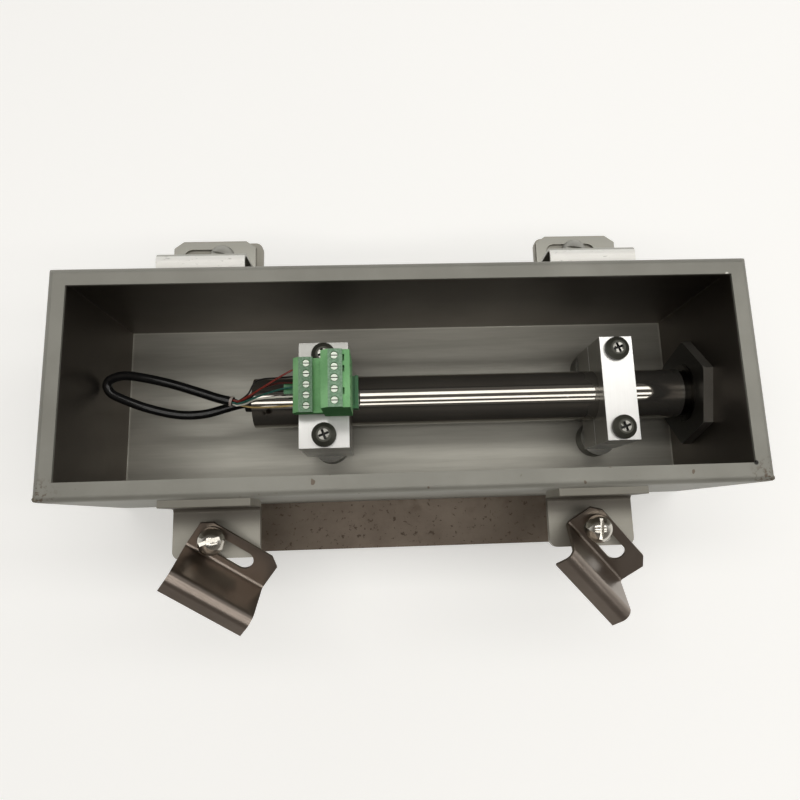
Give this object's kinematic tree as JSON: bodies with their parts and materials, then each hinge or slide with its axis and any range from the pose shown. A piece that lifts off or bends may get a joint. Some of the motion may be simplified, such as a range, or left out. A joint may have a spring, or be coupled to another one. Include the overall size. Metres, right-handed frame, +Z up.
{
  "type": "case expansion transducer",
  "caption": "Displacement transducer held in an open steel enclosure, with a spring-free plunger out of one end, a wired terminal block, swing clamps and a flat mounting plate.",
  "frame": {"origin": "middle of the mounting plate's underside", "axes": "+X along the enclosure towards the end where the plunger comes out, +Y to the wall with the two closed clamps, +Z up out of the open mouth"},
  "size_m": [0.3313, 0.1845, 0.0957],
  "materials": {
    "enclosure_steel": "brushed, dull",
    "plate_steel": "dull, spotted",
    "bracket_steel": "brushed",
    "clamp_steel": "polished spring sheet",
    "bright_screw": "polished",
    "tube_steel": "polished, dark",
    "winding": "varnished",
    "dark_cap": "matt",
    "black_rubber": "matt",
    "fitting_steel": "turned",
    "nut_metal": "plated",
    "rod_steel": "ground",
    "core_iron": "plain",
    "block_aluminium": "satin, bright",
    "spacer_aluminium": "turned",
    "black_screw": "blackened",
    "green_dark": "satin",
    "green_plastic": "satin",
    "terminal_metal": "plated",
    "black_jacket": "glossy",
    "pale_ring": "satin",
    "wire_red": "satin",
    "wire_black": "satin",
    "wire_brown": "satin",
    "wire_green": "satin",
    "wire_white": "satin",
    "wire_yellow": "satin"
  },
  "bodies": {
    "housing": {"enclosure": "enclosure_steel", "mounting_plate": "plate_steel", "bracket_front_left": "bracket_steel", "bracket_front_right": "bracket_steel", "bracket_rear_left": "bracket_steel", "bracket_rear_right": "bracket_steel", "clamp_screws_front": "bright_screw", "clamp_screws_rear": "bright_screw", "transducer_tube": "tube_steel", "winding_former": "winding", "rear_cap": "dark_cap", "cable_gland": "black_rubber", "front_fitting": "fitting_steel", "inner_locknut": "nut_metal", "outer_locknut": "nut_metal", "block_left_cap": "block_aluminium", "block_left_base": "block_aluminium", "block_right_cap": "block_aluminium", "block_right_base": "block_aluminium", "block_spacers": "spacer_aluminium", "block_screws": "black_screw", "terminal_base": "green_dark", "terminal_strip_lower": "green_plastic", "terminal_strip_upper": "green_plastic", "terminal_screws_lower": "terminal_metal", "terminal_screws_upper": "terminal_metal", "sensor_cable": "black_jacket", "cable_ring": "pale_ring", "lead_red": "wire_red", "lead_black": "wire_black", "lead_brown": "wire_brown", "lead_green": "wire_green", "lead_white": "wire_white", "lead_yellow": "wire_yellow"},
    "plunger": {"plunger_rod": "rod_steel", "magnetic_core": "core_iron", "contact_tip": "rod_steel"},
    "front_left_clamp": {"clamp_front_left": "clamp_steel"},
    "front_right_clamp": {"clamp_front_right": "clamp_steel"},
    "rear_left_clamp": {"clamp_rear_left": "clamp_steel"},
    "rear_right_clamp": {"clamp_rear_right": "clamp_steel"}
  },
  "joints": [
    {"name": "plunger_slide", "type": "slide", "parent": "housing", "child": "plunger", "axis": [1, 0, 0], "range_m": [0, 0.05]},
    {"name": "front_left_clamp_swing", "type": "hinge", "parent": "housing", "child": "front_left_clamp", "pos_m": [-0.0873, -0.0671, 0.0659], "axis": [0.0033, -0.4483, 0.8939], "range_deg": [-30, 30]},
    {"name": "front_right_clamp_swing", "type": "hinge", "parent": "housing", "child": "front_right_clamp", "pos_m": [0.0836, -0.0671, 0.0672], "axis": [-0.1371, -0.5129, 0.8474], "range_deg": [-30, 30]},
    {"name": "rear_left_clamp_slide", "type": "slide", "parent": "housing", "child": "rear_left_clamp", "axis": [1, 0, 0], "range_m": [-0.003, 0.015]},
    {"name": "rear_right_clamp_slide", "type": "slide", "parent": "housing", "child": "rear_right_clamp", "axis": [1, 0, 0], "range_m": [-0.0072, 0.0108]}
  ]
}
